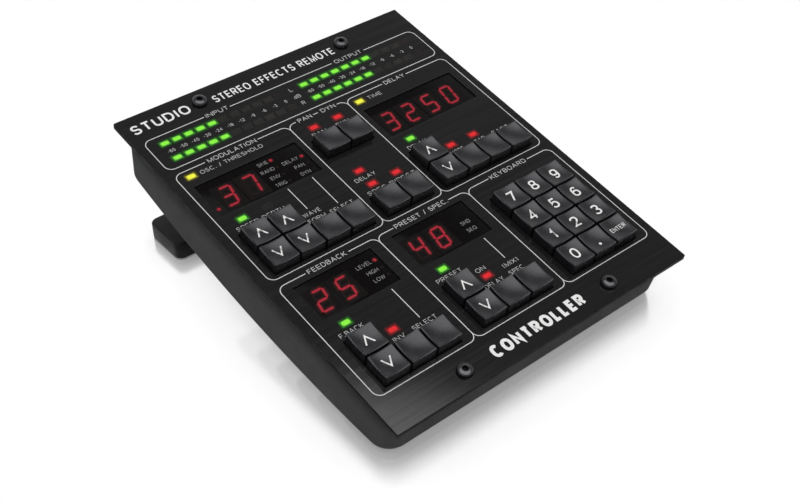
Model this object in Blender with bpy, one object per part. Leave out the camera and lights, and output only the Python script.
"""Desktop effects controller: a sloping faceplate on a rounded tray, a rear stand, and 35 keys.

Table frame: +X right, +Y to the back, +Z up, origin on the table under the middle of the unit.
Panel frame (the empty "panel_frame"): x right, y up the slope, z out of the faceplate,
z = 0 on its top face.
Stand frame (the empty "stand_frame"): on the underside of the case where the stand meets it,
z square to the surface and into the case.
Dimensions are in millimetres and become metres when a mesh or a location is made.
"""

import math

import bmesh
import bpy

for old in list(bpy.data.objects):
    bpy.data.objects.remove(old, do_unlink=True)

MILLIMETRE = 0.001

# ---- driving dimensions -----------------------------------------------------------
TILT = math.radians(10.6)          # slope of the faceplate
PLATE_W, PLATE_L, PLATE_T = 135.0, 167.0, 2.0
BACK_EDGE_Z = 52.0                 # height of the faceplate's rear top edge
KEY_PITCH = 11.07
KEY_BASE, KEY_SHOULDER, KEY_TOP = 10.6, 10.3, 9.9   # widths, from the bottom of the cap up
KEY_GAP = 0.35                     # key to faceplate opening
WINDOW_L = 17.5                    # front to back
LED_W, LED_L = 4.0, 2.6            # faceplate opening over a light

CASE_HALF_W = 66.1
CASE_FRONT, CASE_REAR = -80.0, 79.6
CASE_CORNER = 7.7
CASE_DEPTH, CASE_SAG, CASE_MID = 27.3, 0.00102, -2.1   # arch: deepest, curvature, y of deepest
CASE_WALL, CASE_FLOOR = 2.0, 2.5
CASE_RIM = -(PLATE_T + 0.1)

PANEL_SCREW_X, PANEL_SCREW_Y, PANEL_HOLE_R = 34.0, 77.0, 1.55
STAND_SCREW_X, STAND_HOLE_R = 30.0, 1.8
STAND_Y = 65.5                     # where the stand meets the underside, in the panel frame

TILT_SIN, TILT_COS = math.sin(TILT), math.cos(TILT)
PANEL_Y = -PLATE_T * TILT_SIN / 2
PANEL_Z = BACK_EDGE_Z - PLATE_L / 2 * TILT_SIN
BACK_EDGE_Y = PANEL_Y + PLATE_L / 2 * TILT_COS

# levels under the faceplate, as (bottom, top) in the panel frame
LIGHT_GUIDE_Z = (-3.5, -2.3)
STUD_Z = (-2.9, -0.1)
KEY_GUIDE_Z = (-5.5, -4.0)
MAT_Z = (-9.75, -8.95)
BOARD_Z = (-11.6, -10.0)

SIDES = (-1, 1)
CORNERS = [(side, end) for side in SIDES for end in SIDES]
PANEL_SCREWS = [(side * PANEL_SCREW_X, end * PANEL_SCREW_Y) for side, end in CORNERS]


# ---- plan outlines; a box is (left, right, front, rear) -----------------------------
def grow(box, margin):
    left, right, front, rear = box
    return left - margin, right + margin, front - margin, rear + margin


def box_at(x, y, half_width, half_length):
    return x - half_width, x + half_width, y - half_length, y + half_length


def rect(box, margin=0.0):
    left, right, front, rear = grow(box, margin)
    return [(left, front), (right, front), (right, rear), (left, rear)]


def circle(x, y, radius, segments):
    angles = [2 * math.pi * i / segments for i in range(segments)]
    return [(x + radius * math.cos(angle), y + radius * math.sin(angle)) for angle in angles]


def rounded(box, radius, steps, margin=0.0):
    """Box with rounded corners, grown all round by the margin."""
    left, right, front, rear = grow(box, margin)
    radius += margin
    outline = []
    for x, y, start in ((right - radius, rear - radius, 0), (left + radius, rear - radius, 90),
                        (left + radius, front + radius, 180),
                        (right - radius, front + radius, 270)):
        for step in range(steps + 1):
            angle = math.radians(start + 90 * step / steps)
            outline.append((x + radius * math.cos(angle), y + radius * math.sin(angle)))
    return outline


# ---- solids, built in millimetres ----------------------------------------------------
def add_ring(shape, points):
    return [shape.verts.new(point) for point in points]


def band(shape, lower, upper):
    """Faces round the gap between two closed rings of vertices."""
    for i in range(len(lower)):
        j = (i + 1) % len(lower)
        shape.faces.new((lower[i], lower[j], upper[j], upper[i]))


def at_height(outline, z):
    return [(x, y, z) for x, y in outline]


def prism(shape, outline, bottom, top):
    lower = add_ring(shape, at_height(outline, bottom))
    upper = add_ring(shape, at_height(outline, top))
    shape.faces.new(lower[::-1])
    shape.faces.new(upper)
    band(shape, lower, upper)


def prisms(outlines, bottom, top):
    shape = bmesh.new()
    for outline in outlines:
        prism(shape, outline, bottom, top)
    return shape


def loft(shape, rings):
    """Closed solid through rings with the same number of points, first and last capped."""
    rows = [add_ring(shape, ring) for ring in rings]
    for lower, upper in zip(rows, rows[1:]):
        band(shape, lower, upper)
    shape.faces.new(rows[0][::-1])
    shape.faces.new(rows[-1])


def lofted(rings):
    shape = bmesh.new()
    loft(shape, rings)
    return shape


def lathe(profile, segments=16):
    """Closed turned solid from (radius, z) points, starting and ending on the axis."""
    shape = bmesh.new()
    first = shape.verts.new((0, 0, profile[0][1]))
    last = shape.verts.new((0, 0, profile[-1][1]))
    rows = [add_ring(shape, at_height(circle(0, 0, radius, segments), z))
            for radius, z in profile[1:-1]]
    for i in range(segments):
        j = (i + 1) % segments
        shape.faces.new((first, rows[0][i], rows[0][j]))
        shape.faces.new((last, rows[-1][j], rows[-1][i]))
        for upper, lower in zip(rows, rows[1:]):
            shape.faces.new((upper[i], lower[i], lower[j], upper[j]))
    return shape


# ---- materials -----------------------------------------------------------------------
MATERIALS = {  # name: base colour, roughness, metallic
    "black_anodised": ((0.012, 0.012, 0.013), 0.35, 0.9),
    "case_plastic": ((0.035, 0.035, 0.036), 0.5, 0.0),
    "stand_plastic": ((0.015, 0.015, 0.016), 0.5, 0.0),
    "rubber": ((0.02, 0.02, 0.02), 0.9, 0.0),
    "key_plastic": ((0.05, 0.05, 0.055), 0.45, 0.0),
    "smoked_window": ((0.01, 0.004, 0.004), 0.08, 0.0),
    "display_body": ((0.03, 0.03, 0.03), 0.6, 0.0),
    "light_guide": ((0.6, 0.62, 0.6), 0.2, 0.0),
    "key_frame": ((0.08, 0.08, 0.08), 0.6, 0.0),
    "dome_silicone": ((0.5, 0.5, 0.5), 0.7, 0.0),
    "board_fr4": ((0.02, 0.12, 0.05), 0.5, 0.0),
    "black_steel": ((0.02, 0.02, 0.022), 0.3, 1.0),
    "zinc_steel": ((0.6, 0.6, 0.6), 0.3, 1.0),
}


def make_material(name, colour, roughness, metallic):
    material = bpy.data.materials.new(name)
    material.use_nodes = True
    inputs = material.node_tree.nodes["Principled BSDF"].inputs
    inputs["Base Color"].default_value = (*colour, 1)
    inputs["Roughness"].default_value = roughness
    inputs["Metallic"].default_value = metallic


for material_name, settings in MATERIALS.items():
    make_material(material_name, *settings)


# ---- objects -------------------------------------------------------------------------
def place(name, data, parent=None, location=(0, 0, 0), slope=0.0):
    """Object at a location in millimetres, turned about x by the slope."""
    placed = bpy.data.objects.new(name, data)
    bpy.context.scene.collection.objects.link(placed)
    placed.parent = parent
    placed.location = tuple(value * MILLIMETRE for value in location)
    placed.rotation_euler = (slope, 0, 0)
    return placed


def mesh_from(name, shape, material=None):
    """Mesh in metres from a shape in millimetres; the shape is used up."""
    bmesh.ops.scale(shape, vec=(MILLIMETRE,) * 3, verts=shape.verts)
    bmesh.ops.recalc_face_normals(shape, faces=shape.faces)
    mesh = bpy.data.meshes.new(name)
    shape.to_mesh(mesh)
    shape.free()
    if material:
        mesh.materials.append(bpy.data.materials[material])
    return mesh


def piece(name, shape, material, parent=None):
    return place(name, mesh_from(name, shape, material), parent)


def combine(operation, target, name, shape, parent):
    """Boolean modifier on the target, driven by a hidden helper object."""
    helper = place(name, mesh_from(name, shape), parent)
    helper.hide_render = True
    helper.display_type = "WIRE"
    modifier = target.modifiers.new(operation.lower(), "BOOLEAN")
    modifier.operation = operation
    modifier.solver = "EXACT"
    modifier.object = helper
    return helper


def cut(target, name, shape, parent=None):
    return combine("DIFFERENCE", target, name, shape, parent)


def join(target, name, shape, parent=None):
    return combine("UNION", target, name, shape, parent)


# ---- layout tables, measured right and forward from the faceplate's rear left corner -----
MIDDLE_ROW, FRONT_ROW = 87.54, 145.2

# across and down to the front left key, then rows of key names from the rear
CLUSTERS = [
    (12.27, MIDDLE_ROW, [["key_speed_up", "key_depth_up"],
                         ["key_speed_down", "key_depth_down", "key_waveform", "key_mod_select"]]),
    (61.86, 52.14, [["key_pan", "key_dynamics"]]),
    (61.86, MIDDLE_ROW, [["key_delay_special", "key_delay_direct"]]),
    (89.57, MIDDLE_ROW, [["key_time_up"],
                         ["key_time_down", "key_delay_mode", "key_tap", "key_fast"]]),
    (13.74, FRONT_ROW, [["key_feedback_up"],
                        ["key_feedback_down", "key_invert", "key_feedback_select"]]),
    (56.36, FRONT_ROW, [["key_preset_up"],
                        ["key_preset_down", "key_bypass", "key_mix"]]),
    (99.05, FRONT_ROW, [["key_7", "key_8", "key_9"], ["key_4", "key_5", "key_6"],
                        ["key_1", "key_2", "key_3"], ["key_0", "key_point", "key_enter"]]),
]
WINDOWS = {  # left edge, right edge, rear edge, centre of the digits, width of the digits
    "modulation": (6.7, 51.3, 43.2, 22.9, 20.0),
    "delay": (84.2, 128.5, 43.2, 106.35, 40.2),
    "feedback": (8.2, 41.7, 100.8, 20.3, 20.0),
    "preset": (51.0, 84.5, 100.8, 63.0, 20.0),
}
METER_STARTS, METER_ROWS = (10.4, 73.7), (18.7, 27.3)
METER_COUNT, METER_PITCH = 11, 5.145
INDICATORS = [  # across, down
    (9.0, 38.3), (12.5, 65.3), (23.3, 65.3),
    (62.2, 40.8), (73.5, 40.8), (62.2, 68.6), (62.2, 76.5), (73.5, 76.5),
    (86.3, 38.3), (89.8, 65.3), (100.8, 76.5), (112.0, 76.5),
    (14.0, 122.7), (25.2, 133.7), (56.7, 122.7), (67.8, 133.7),
]
METER_LEDS = [(start + METER_PITCH * i, down)
              for start in METER_STARTS for down in METER_ROWS for i in range(METER_COUNT)]
DIGITS_L = 12.8                    # front to back


def panel_x(across):
    return across - PLATE_W / 2


def panel_y(down):
    return PLATE_L / 2 - down


def panel_box(left, right, rear, front):
    return panel_x(left), panel_x(right), panel_y(front), panel_y(rear)


KEYS = {  # name: (x, y) in the panel frame
    name: (panel_x(across + column * KEY_PITCH),
           panel_y(down - (len(rows) - 1 - row) * KEY_PITCH))
    for across, down, rows in CLUSTERS
    for row, names in enumerate(rows)
    for column, name in enumerate(names)
}
WINDOW_BOXES = {name: panel_box(left, right, rear, rear + WINDOW_L)
                for name, (left, right, rear, _, _) in WINDOWS.items()}


def cluster_outline(rows, margin):
    """Rectangle or L round a cluster of key caps, with a margin."""
    reach = KEY_BASE / 2 + margin
    left, front = KEYS[rows[-1][0]]
    front_right = KEYS[rows[-1][-1]][0]
    rear_right, rear = KEYS[rows[0][-1]]
    if len(rows[0]) == len(rows[-1]):
        return rect((left, front_right, front, rear), reach)
    return [(left - reach, front - reach), (front_right + reach, front - reach),
            (front_right + reach, front + reach), (rear_right + reach, front + reach),
            (rear_right + reach, rear + reach), (left - reach, rear + reach)]


def cluster_outlines(margin):
    return [cluster_outline(rows, margin) for _, _, rows in CLUSTERS]


def window_outlines(margin=0.0):
    return [rect(box, margin) for box in WINDOW_BOXES.values()]


def light_outlines(lights, inset=0.0):
    return [rect(box_at(panel_x(across), panel_y(down), LED_W / 2, LED_L / 2), -inset)
            for across, down in lights]


def digits_outline(name, side_gap=0.0, end_gap=0.0):
    _, _, rear, centre, width = WINDOWS[name]
    return rect(box_at(panel_x(centre), panel_y(rear + WINDOW_L / 2),
                       width / 2 + side_gap, DIGITS_L / 2 + end_gap))


def digits_openings():
    return [digits_outline(name, side_gap=0.3, end_gap=0.6) for name in WINDOWS]


# ---- frames ----------------------------------------------------------------------------
def case_depth(y):
    """Depth of the case's outer bottom below the faceplate's top face."""
    return CASE_DEPTH - CASE_SAG * (y - CASE_MID) ** 2


STAND_SLOPE = math.atan(2 * CASE_SAG * (STAND_Y - CASE_MID))
panel_frame = place("panel_frame", None, location=(0, PANEL_Y, PANEL_Z), slope=TILT)
stand_frame = place("stand_frame", None, panel_frame,
                    location=(0, STAND_Y, -case_depth(STAND_Y)), slope=STAND_SLOPE)


# ---- faceplate --------------------------------------------------------------------------
def build_faceplate():
    plate = rect(box_at(0, 0, PLATE_W / 2, PLATE_L / 2))
    faceplate = piece("faceplate", prisms([plate], -PLATE_T, 0), "black_anodised", panel_frame)
    openings = (cluster_outlines(KEY_GAP) + window_outlines()
                + light_outlines(METER_LEDS + INDICATORS)
                + [circle(x, y, PANEL_HOLE_R, 16) for x, y in PANEL_SCREWS])
    cut(faceplate, "cut_faceplate_openings", prisms(openings, -6, 4), panel_frame)


# ---- case: rounded tray with an arched bottom ----------------------------------------------
CORNER_STEPS, SIDE_STEPS = 4, 8
SIDE_DRAFT, END_DRAFT = 0.2, 1.0             # inset of the outer walls at the bottom
BOTTOM_EDGE_R = 3.3
BOTTOM_EDGE_ANGLES = (0, 30, 60, 90)
INNER_EDGE = ((0.2, 2.0), (1.8, 0.0))        # extra inset, lift above the floor
BOSS_HALF_W, BOSS_INNER_Y, BOSS_OUTER_Y = 3.2, 72.6, 78.0
POST_X, POST_Y, POST_R, POST_TOP = 58, 62, 2.2, -11.9
USB_OPENING, USB_OPENING_Z = (-5.2, 5.2, 74, 90), (-16.0, -11.2)


def half_outline(half_width, front, rear, radius):
    """Right-hand half of a rounded outline, front to back."""
    outline = []
    for step in range(CORNER_STEPS + 1):
        angle = math.radians(-90 + 90 * step / CORNER_STEPS)
        outline.append((half_width - radius + radius * math.cos(angle),
                        front + radius + radius * math.sin(angle)))
    for step in range(1, SIDE_STEPS):
        outline.append((half_width,
                        front + radius + (rear - front - 2 * radius) * step / SIDE_STEPS))
    for step in range(CORNER_STEPS + 1):
        angle = math.radians(90 * step / CORNER_STEPS)
        outline.append((half_width - radius + radius * math.cos(angle),
                        rear - radius + radius * math.sin(angle)))
    return outline


def case_ring(side_inset, end_inset, corner_inset, lift=None):
    """Right and left halves of a ring, lifted above the arched bottom, or at the rim."""
    outline = half_outline(CASE_HALF_W - side_inset, CASE_FRONT + end_inset,
                           CASE_REAR - end_inset, CASE_CORNER - corner_inset)
    right = [(x, y, CASE_RIM if lift is None else lift - case_depth(y)) for x, y in outline]
    return right, [(-x, y, z) for x, y, z in right]


def tray(shape, rings):
    """Skin through mirrored half rings, the last closed with strips straight across.

    The first ring is left open, and returned as one loop of vertices.
    """
    made = [(add_ring(shape, right), add_ring(shape, left)) for right, left in rings]
    for (right, left), (next_right, next_left) in zip(made, made[1:]):
        for i in range(len(right) - 1):
            shape.faces.new((right[i], right[i + 1], next_right[i + 1], next_right[i]))
            shape.faces.new((left[i + 1], left[i], next_left[i], next_left[i + 1]))
        shape.faces.new((left[0], right[0], next_right[0], next_left[0]))
        shape.faces.new((right[-1], left[-1], next_left[-1], next_right[-1]))
    right, left = made[-1]
    for i in range(len(right) - 1):
        shape.faces.new((left[i], right[i], right[i + 1], left[i + 1]))
    right, left = made[0]
    return right + left[::-1]


def tray_shape():
    outer = [case_ring(0, 0, 0)]
    for degrees in BOTTOM_EDGE_ANGLES:
        angle = math.radians(degrees)
        inset = BOTTOM_EDGE_R * (1 - math.cos(angle))
        outer.append(case_ring(SIDE_DRAFT + inset, END_DRAFT + inset, inset,
                               BOTTOM_EDGE_R * (1 - math.sin(angle))))
    inner = [case_ring(CASE_WALL, CASE_WALL, CASE_WALL)]
    for extra, lift in INNER_EDGE:
        inner.append(case_ring(CASE_WALL + extra, CASE_WALL + END_DRAFT + extra,
                               CASE_WALL + extra / 2, CASE_FLOOR + lift))
    shape = bmesh.new()
    outer_rim = tray(shape, outer)
    inner_rim = tray(shape, inner)
    band(shape, outer_rim, inner_rim)
    return shape


def screw_block(side, end, inner_y, outer_y, half_width):
    """Plan rectangle round a panel screw, at the front or rear end."""
    front, rear = sorted((end * inner_y, end * outer_y))
    x = side * PANEL_SCREW_X
    return rect((x - half_width, x + half_width, front, rear))


def boss_shape():
    """Four screw bosses and four round posts, all sunk into the floor."""
    shape = bmesh.new()
    for side, end in CORNERS:
        block = screw_block(side, end, BOSS_INNER_Y, BOSS_OUTER_Y, BOSS_HALF_W)
        loft(shape, [[(x, y, -(case_depth(y) - 1.8)) for x, y in block],
                     at_height(block, CASE_RIM - 0.2)])
        prism(shape, circle(side * POST_X, end * POST_Y, POST_R, 10),
              -(case_depth(POST_Y) - 1.2), POST_TOP)
    return shape


def stand_holes(bottom, top):
    return prisms([circle(side * STAND_SCREW_X, 0, STAND_HOLE_R, 12) for side in SIDES],
                  bottom, top)


def build_case():
    case = piece("case", tray_shape(), "case_plastic", panel_frame)
    join(case, "add_case_bosses", boss_shape(), panel_frame)
    holes = prisms([circle(x, y, PANEL_HOLE_R, 12) for x, y in PANEL_SCREWS], -12.5, 0)
    prism(holes, rect(USB_OPENING), *USB_OPENING_Z)
    cut(case, "cut_case_holes", holes, panel_frame)
    cut(case, "cut_case_stand_holes", stand_holes(-6, 6), stand_frame)
    groove = rounded(STRIP, STRIP_CORNER, steps=4, margin=0.3)
    cut(case, "cut_case_strip_groove", prisms([groove], -3, 2.4))


# ---- front rubber strip, square to the table ---------------------------------------------------
STRIP_HALF_W = 50.0
STRIP = (-STRIP_HALF_W, STRIP_HALF_W, BACK_EDGE_Y - 150.5, BACK_EDGE_Y - 142.5)
STRIP_CORNER = 3.0
STRIP_LEVELS = ((0.4, 0), (0.0, 0.4), (0.0, 2.15))   # inset, z


def build_strip():
    piece("front_foot_strip",
          lofted([at_height(rounded(STRIP, STRIP_CORNER, steps=4, margin=-inset), z)
                  for inset, z in STRIP_LEVELS]), "rubber")


# ---- stand: foot bar, neck and mounting flange, one moulding --------------------------------------
FOOT_HALF_W, FOOT_TOP_Z = 62.3, 7.6
FOOT = (-FOOT_HALF_W, FOOT_HALF_W, BACK_EDGE_Y - 26.5, BACK_EDGE_Y - 5.5)
FOOT_CORNER = 3.2
FOOT_LEVELS = (  # inset, z
    (0.3, 0.3), (0.0, 0.7), (0.0, FOOT_TOP_Z - 1.0), (0.3, FOOT_TOP_Z - 0.3), (1.0, FOOT_TOP_Z),
)
NECK_HALF_W = 46.0
NECK_FOOT_HALF_L, NECK_FOOT_Z = 5.5, 6.0     # lower end, in the table frame
NECK_TOP_HALF_L, NECK_TOP_Z = 4.5, -1.8      # upper end, in the stand frame
FLANGE = (-NECK_HALF_W - 3, NECK_HALF_W + 3, -9, 9)
PAD, PAD_CORNER = grow(FOOT, -3.2), 2.5


def stand_to_table(y, z):
    """(y, z) in the stand frame as (y, z) in the table frame."""
    slope = TILT + STAND_SLOPE
    depth = case_depth(STAND_Y)
    origin_y = PANEL_Y + STAND_Y * TILT_COS + depth * TILT_SIN
    origin_z = PANEL_Z + STAND_Y * TILT_SIN - depth * TILT_COS
    return (origin_y + y * math.cos(slope) - z * math.sin(slope),
            origin_z + y * math.sin(slope) + z * math.cos(slope))


def neck_shape():
    middle = (FOOT[2] + FOOT[3]) / 2
    profile = [(middle - NECK_FOOT_HALF_L, NECK_FOOT_Z), (middle + NECK_FOOT_HALF_L, NECK_FOOT_Z),
               stand_to_table(NECK_TOP_HALF_L, NECK_TOP_Z),
               stand_to_table(-NECK_TOP_HALF_L, NECK_TOP_Z)]
    return lofted([[(x, y, z) for y, z in profile] for x in (-NECK_HALF_W, NECK_HALF_W)])


def build_stand():
    foot = lofted([at_height(rounded(FOOT, FOOT_CORNER, steps=4, margin=-inset), z)
                   for inset, z in FOOT_LEVELS])
    stand = piece("stand", foot, "stand_plastic")
    join(stand, "add_stand_neck", neck_shape())
    join(stand, "add_stand_flange", prisms([rounded(FLANGE, 3, steps=3)], -3.2, -0.15),
         stand_frame)
    cut(stand, "cut_stand_screw_holes", stand_holes(-6.4, 3), stand_frame)
    pocket = rounded(PAD, PAD_CORNER, steps=4, margin=0.3)
    cut(stand, "cut_stand_pad_pocket", prisms([pocket], -2, 1.7))
    piece("stand_pad", prisms([rounded(PAD, PAD_CORNER, steps=4)], 0, 1.5), "rubber")


# ---- keys: one mesh shared by all ---------------------------------------------------------------
KEY_RISE = 4.15                    # corners of the dished key top above the faceplate
KEY_DISH = 0.95                    # depth of the dish below the corners
KEY_SECTIONS = (  # half width, z: foot flange, stem, then cap
    (3.3, -6.8), (3.3, -5.8), (2.5, -5.8), (2.5, -2.3),
    (KEY_BASE / 2, -2.3), (KEY_SHOULDER / 2, KEY_RISE - KEY_DISH / 2 - 0.3),
)


def dished(half):
    """Eight points round a square on the dished key top."""
    points = []
    for x, y in ((-1, -1), (0, -1), (1, -1), (1, 0), (1, 1), (0, 1), (-1, 1), (-1, 0)):
        radius_squared = (x * x + y * y) * half * half
        drop = KEY_DISH * (1 - radius_squared / (2 * (KEY_TOP / 2) ** 2))
        points.append((x * half, y * half, KEY_RISE - drop))
    return points


def key_shape():
    shape = bmesh.new()
    rows = [add_ring(shape, at_height(rect(box_at(0, 0, half, half)), z))
            for half, z in KEY_SECTIONS]
    for lower, upper in zip(rows, rows[1:]):
        band(shape, lower, upper)
    shape.faces.new(rows[0][::-1])
    shoulder = rows[-1]
    edge = add_ring(shape, dished(KEY_TOP / 2))
    inner = add_ring(shape, dished(KEY_TOP / 4))
    centre = shape.verts.new((0, 0, KEY_RISE - KEY_DISH))
    # each side steps from two shoulder corners to three points on the edge of the dish
    for i in range(4):
        j = (i + 1) % 4
        start, middle, end = edge[2 * i], edge[2 * i + 1], edge[(2 * i + 2) % 8]
        shape.faces.new((shoulder[i], shoulder[j], middle))
        shape.faces.new((shoulder[i], middle, start))
        shape.faces.new((shoulder[j], end, middle))
    band(shape, edge, inner)
    for i in range(8):
        shape.faces.new((inner[i], inner[(i + 1) % 8], centre))
    bmesh.ops.triangulate(shape, faces=shape.faces)
    return shape


def build_keys():
    mesh = mesh_from("key_template", key_shape(), "key_plastic")
    for name, (x, y) in KEYS.items():
        place(name, mesh, panel_frame, (x, y, 0))


# ---- key guide frame, dome mat and board under the keys -----------------------------------------
KEY_GUIDE = (-62.6, 62.6, -71.0, 43.5)
LEGS = [(-61, 41.9), (61, 41.9), (-61, -69.4), (61, -69.4), (-20.5, -20), (20.5, -20)]
DOME_LEVELS = ((3.2, -9.3), (2.4, -8.1))     # radius, z
BOARD, BOARD_CORNER = (-62.5, 62.5, -75.6, 75.4), 6.0
NOTCH_GAP = 0.5                              # round the screw bosses
CHIPS = [  # box, height below the board
    ((-6, 6, -6, 6), 1.2),
    ((18, 26, 20, 26), 1.0),
    ((-30, -22, 16, 22), 1.0),
    ((-4, 4, 52, 56), 1.6),
    ((30, 38, -40, -32), 1.2),
]


def build_key_guide():
    guide = piece("key_guide_frame", prisms([rect(KEY_GUIDE)], *KEY_GUIDE_Z), "key_frame",
                  panel_frame)
    stem_openings = [rect(box_at(x, y, 2.75, 2.75)) for x, y in KEYS.values()]
    cut(guide, "cut_guide_openings", prisms(stem_openings + digits_openings(), -8, -2),
        panel_frame)
    legs = [rect(box_at(x, y, 1.4, 1.4)) for x, y in LEGS]
    join(guide, "add_guide_legs", prisms(legs, -8.7, -4.6), panel_frame)


def build_dome_mat():
    dome_mat = piece("dome_mat", prisms([rect(KEY_GUIDE, -0.2)], *MAT_Z), "dome_silicone",
                     panel_frame)
    domes = bmesh.new()
    for x, y in KEYS.values():
        loft(domes, [at_height(circle(x, y, radius, 8), z) for radius, z in DOME_LEVELS])
    join(dome_mat, "add_mat_domes", domes, panel_frame)
    cut(dome_mat, "cut_mat_openings", prisms(digits_openings(), -12, -7), panel_frame)


def build_board():
    board = piece("main_board", prisms([rounded(BOARD, BOARD_CORNER, steps=4)], *BOARD_Z),
                  "board_fr4", panel_frame)
    notches = [screw_block(side, end, BOSS_INNER_Y - NOTCH_GAP, 80, BOSS_HALF_W + NOTCH_GAP)
               for side, end in CORNERS]
    cut(board, "cut_board_notches", prisms(notches, -14, -8), panel_frame)
    chips = bmesh.new()
    for box, height in CHIPS:
        prism(chips, rect(box), BOARD_Z[0] - height, -11.0)
    join(board, "add_board_chips", chips, panel_frame)


# ---- light guides: a sheet with a stud up into each opening ----------------------------------------
STUD_INSET = 0.25                  # stud to faceplate opening
METER_SHEET = panel_box(5.5, 129.5, 14.4, 31.6)
INDICATOR_SHEET = (*KEY_GUIDE[:3], panel_y(34.0))


def build_light_guides():
    meter = piece("meter_light_guide", prisms([rect(METER_SHEET)], *LIGHT_GUIDE_Z),
                  "light_guide", panel_frame)
    join(meter, "add_meter_studs", prisms(light_outlines(METER_LEDS, STUD_INSET), *STUD_Z),
         panel_frame)
    lights = piece("indicator_light_guide", prisms([rect(INDICATOR_SHEET)], *LIGHT_GUIDE_Z),
                   "light_guide", panel_frame)
    openings = cluster_outlines(0.9) + window_outlines(1.6)
    cut(lights, "cut_light_guide_openings", prisms(openings, -6, 1), panel_frame)
    join(lights, "add_indicator_studs",
         prisms(light_outlines(INDICATORS, STUD_INSET), *STUD_Z), panel_frame)


# ---- display windows and seven-segment modules -------------------------------------------------
# margin round the opening, z: top, step out to a lip, underside, then up into a recess
WINDOW_LEVELS = ((-0.2, -0.5), (-0.2, -2.3), (1.3, -2.3), (1.3, -3.1), (-1.2, -3.1), (-1.2, -1.6))
DIGITS_Z = (-9.7, -2.0)


def build_displays():
    for name, box in WINDOW_BOXES.items():
        window = lofted([at_height(rect(box, margin), z) for margin, z in WINDOW_LEVELS])
        piece("window_" + name, window, "smoked_window", panel_frame)
        piece("digits_" + name, prisms([digits_outline(name)], *DIGITS_Z), "display_body",
              panel_frame)


# ---- usb socket: shell open to the rear, with a tongue inside ----------------------------------------
# these boxes lie in x and z: (left, right, bottom, top)
USB_SHELL, USB_CORNER = (-4.6, 4.6, -15.3, -11.9), 1.5
USB_LEVELS = ((0.0, 72.0), (0.0, 79.2), (-0.4, 79.2), (-0.4, 73.0))   # margin, y
USB_TONGUE, USB_TONGUE_Y = (-3.1, 3.1, -13.95, -13.25), (72.5, 78.2)


def build_usb_socket():
    shell = lofted([[(x, y, z) for x, z in rounded(USB_SHELL, USB_CORNER, 3, margin)]
                    for margin, y in USB_LEVELS])
    usb = piece("usb_socket", shell, "zinc_steel", panel_frame)
    tongue = lofted([[(x, y, z) for x, z in rect(USB_TONGUE)] for y in USB_TONGUE_Y])
    join(usb, "add_usb_tongue", tongue, panel_frame)


# ---- screws ------------------------------------------------------------------------------------
def hex_screw(name, head_r, head_h, shank_r, length, socket_r, material):
    """Mesh of a button-head screw, head resting on z = 0, with its hexagon socket cut."""
    profile = [(0, head_h), (head_r * 0.55, head_h), (head_r * 0.85, head_h * 0.72),
               (head_r, head_h * 0.25), (head_r, 0), (shank_r, 0), (shank_r, -length + 0.5),
               (shank_r * 0.7, -length), (0, -length)]
    body = piece(name, lathe(profile), material)
    socket = cut(body, name + "_socket",
                 prisms([circle(0, 0, socket_r, 6)], head_h * 0.25, head_h + 2))
    bpy.context.view_layer.update()
    depsgraph = bpy.context.evaluated_depsgraph_get()
    mesh = bpy.data.meshes.new_from_object(body.evaluated_get(depsgraph))
    mesh.name = name
    bpy.data.objects.remove(body)
    bpy.data.objects.remove(socket)
    return mesh


def build_screws():
    panel_screw = hex_screw("panel_screw", head_r=2.95, head_h=1.7, shank_r=1.2, length=9.0,
                            socket_r=1.2, material="black_steel")
    stand_screw = hex_screw("stand_screw", head_r=2.75, head_h=1.65, shank_r=1.5, length=8.0,
                            socket_r=1.15, material="zinc_steel")
    for side, side_name in ((-1, "left"), (1, "right")):
        for end, end_name in ((-1, "front"), (1, "rear")):
            place(f"panel_screw_{end_name}_{side_name}", panel_screw, panel_frame,
                  (side * PANEL_SCREW_X, end * PANEL_SCREW_Y, 0.05))
        place("stand_screw_" + side_name, stand_screw, stand_frame,
              (side * STAND_SCREW_X, 0, CASE_FLOOR + 0.12))


build_faceplate()
build_case()
build_strip()
build_stand()
build_keys()
build_key_guide()
build_dome_mat()
build_board()
build_light_guides()
build_displays()
build_usb_socket()
build_screws()
